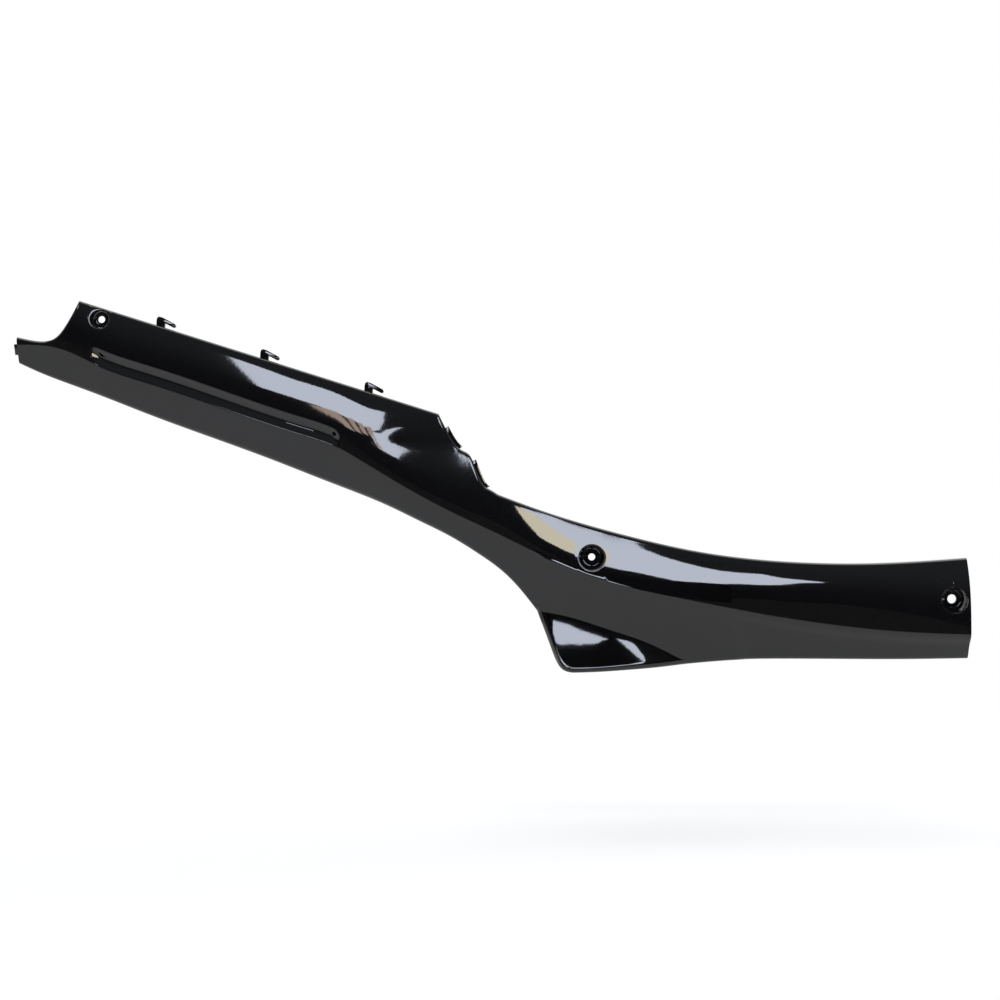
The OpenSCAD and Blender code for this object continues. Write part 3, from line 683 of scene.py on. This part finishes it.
def room_world():
    """White to the camera, and mirrored where it is behind the cover, else a dim room."""
    world = bpy.data.worlds.new("room")
    world.use_nodes = True
    nodes, links = world.node_tree.nodes, world.node_tree.links
    room = nodes["Background"]
    room.inputs["Color"].default_value = (0.9, 0.95, 1, 1)
    place = nodes.new("ShaderNodeTexCoord")
    part = nodes.new("ShaderNodeSeparateXYZ")
    links.new(place.outputs["Generated"], part.inputs["Vector"])
    rise = nodes.new("ShaderNodeMapRange")
    rise.interpolation_type = "SMOOTHSTEP"
    rise.inputs["From Max"].default_value = 0.7
    rise.inputs["To Min"].default_value, rise.inputs["To Max"].default_value = ROOM_LOW, ROOM_HIGH
    links.new(part.outputs["Z"], rise.inputs["Value"])
    links.new(rise.outputs["Result"], room.inputs["Strength"])
    white = nodes.new("ShaderNodeBackground")
    white.inputs["Color"].default_value = (1, 1, 1, 1)
    path = nodes.new("ShaderNodeLightPath")
    behind = nodes.new("ShaderNodeMath")
    behind.operation = "GREATER_THAN"
    behind.inputs[1].default_value = 0
    links.new(part.outputs["Y"], behind.inputs[0])
    mirrored = strongest(nodes, links, [path.outputs["Is Glossy Ray"],
                                        path.outputs["Is Transmission Ray"]])
    mirrored = product(nodes, links, mirrored, behind.outputs["Value"])
    seen = strongest(nodes, links, [path.outputs["Is Camera Ray"], mirrored])
    mix = nodes.new("ShaderNodeMixShader")
    links.new(seen, mix.inputs["Fac"])
    links.new(room.outputs["Background"], mix.inputs[1])
    links.new(white.outputs["Background"], mix.inputs[2])
    links.new(mix.outputs["Shader"], nodes["World Output"].inputs["Surface"])
    return world


def build_studio():
    turn = [math.pi / 2 * i / 12 for i in range(13)]
    profile = [(FLOOR_FRONT, FLOOR_Z)]
    profile += [(SWEEP_BACK - SWEEP_R + SWEEP_R * math.sin(a),
                 FLOOR_Z + SWEEP_R - SWEEP_R * math.cos(a)) for a in turn]
    profile.append((SWEEP_BACK, SWEEP_TOP))
    add_sheet("sweep", [(side, y, z) for y, z in profile for side in (-SWEEP_HALF, SWEEP_HALF)],
              sweep_material(), ("camera", "diffuse", "glossy"), bent=True)
    room_floor = [(-SWEEP_HALF, FLOOR_FRONT, FLOOR_Z), (SWEEP_HALF, FLOOR_FRONT, FLOOR_Z),
                  (SWEEP_HALF, ROOM_Y, FLOOR_Z), (-SWEEP_HALF, ROOM_Y, FLOOR_Z)]
    add_sheet("room_floor", room_floor, matt_material("room_floor", (0.10, 0.09, 0.08)))
    # Glow for the windows, which are lamps, and for the painted reflection cards
    daylight_and_painted_reflection = glow_material("daylight_and_painted_reflection", (0.80, 0.86, 1.0), 14)
    add_sheet("window_left", [(x, ROOM_Y, z) for x, z in WINDOW_LEFT], daylight_and_painted_reflection)
    add_sheet("window_right", [(x, ROOM_Y, z) for x, z in WINDOW_RIGHT], daylight_and_painted_reflection, ("diffuse",))
    beige = glow_material("painted_curtain_reflection", (1, 0.92, 0.72), 13)
    # Painted reflections: glowing cards that show only in reflections and light nothing
    for name, outline, mat in (("painted_sill_reflection", PAINTED_SILL_OUTLINE, daylight_and_painted_reflection),
                               ("painted_curtain_reflection", PAINTED_CURTAIN_OUTLINE, beige), ("painted_lobe_reflection", PAINTED_LOBE_OUTLINE, daylight_and_painted_reflection)):
        y = CARD_Y - 0.001 * (mat == daylight_and_painted_reflection)
        add_sheet(name, [(x, y, z) for x, z in outline], mat, ("glossy",))
    # Painted reflection near the flare, and behind it a dark sheet that paints shade into that
    # reflection
    add_sheet("painted_flare_reflection", [(x, FLARE_CARD_Y, z) for x, z in PAINTED_FLARE_OUTLINE], daylight_and_painted_reflection, ("glossy",))
    add_sheet("painted_reflection_shade", [(x, PAINTED_SHADE_Y, z) for x, z in PAINTED_SHADE_OUTLINE], matt_material("painted_reflection_shade", (0.02, 0.02, 0.02)),
              ("glossy",))
    # Painted reflections of brown slats: glowing cards seen only in reflections
    brown = glow_material("painted_slat_reflections", (1, 0.78, 0.66), 7)
    for i in range(SLAT_COUNT):
        slat = [(x + i * SLAT_PITCH, CARD_Y, z + i * SLAT_RISE * (1 - 16 * (z - 0.15)))
                for x, z in PAINTED_SLAT_OUTLINE]
        add_sheet("slat_%d" % i, slat, brown, ("glossy",))
    softbox = [(x, 0.6 + y, 2.4) for x, y in ((-1.6, -1.6), (1.6, -1.6), (1.6, 1.6), (-1.6, 1.6))]
    add_sheet("softbox", softbox, glow_material("softbox", (1, 1, 1), 3))
    bpy.context.scene.world = room_world()


def add_camera():
    lens = bpy.data.cameras.new("camera")
    lens.lens, lens.sensor_width = 61.2, 36
    lens.clip_end = 50
    camera = bpy.data.objects.new("camera", lens)
    camera.location = (-0.091, -1.6875, 0.0565)
    camera.rotation_euler = (UP, 0, 0)
    bpy.context.scene.collection.objects.link(camera)
    bpy.context.scene.camera = camera


cover = bpy.data.objects.new("side_cover_shell", cover_mesh())
bpy.context.scene.collection.objects.link(cover)
cover.data.materials.append(cover_material())
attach(cover, "root")
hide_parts("side_cover")

build_studio()
add_camera()
scene = bpy.context.scene
scene.view_settings.view_transform = "Standard"
